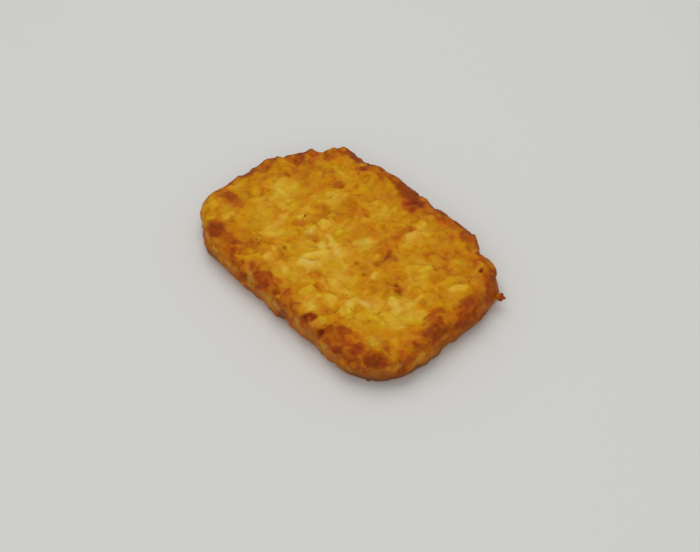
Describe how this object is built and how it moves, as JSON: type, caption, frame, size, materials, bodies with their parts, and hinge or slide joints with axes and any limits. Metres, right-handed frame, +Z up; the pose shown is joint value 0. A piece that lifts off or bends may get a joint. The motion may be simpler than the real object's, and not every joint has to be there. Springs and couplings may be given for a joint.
{
  "type": "hash brown patty",
  "caption": "Fried hash brown patty: pressed potato pieces in a slab with rounded corners, browned at the rim, lying flat.",
  "frame": {"origin": "on the resting plane, under the middle of the bounding box", "axes": "+X along the patty's length, +Y along its width, +Z up out of the face that shows in the picture"},
  "size_m": [0.1006, 0.0678, 0.0117],
  "materials": {
    "fried_crust": "fried potato crust, golden with pale pieces and red-brown edges, slightly oily"
  },
  "bodies": {
    "root": {"patty": "fried_crust"}
  },
  "joints": []
}
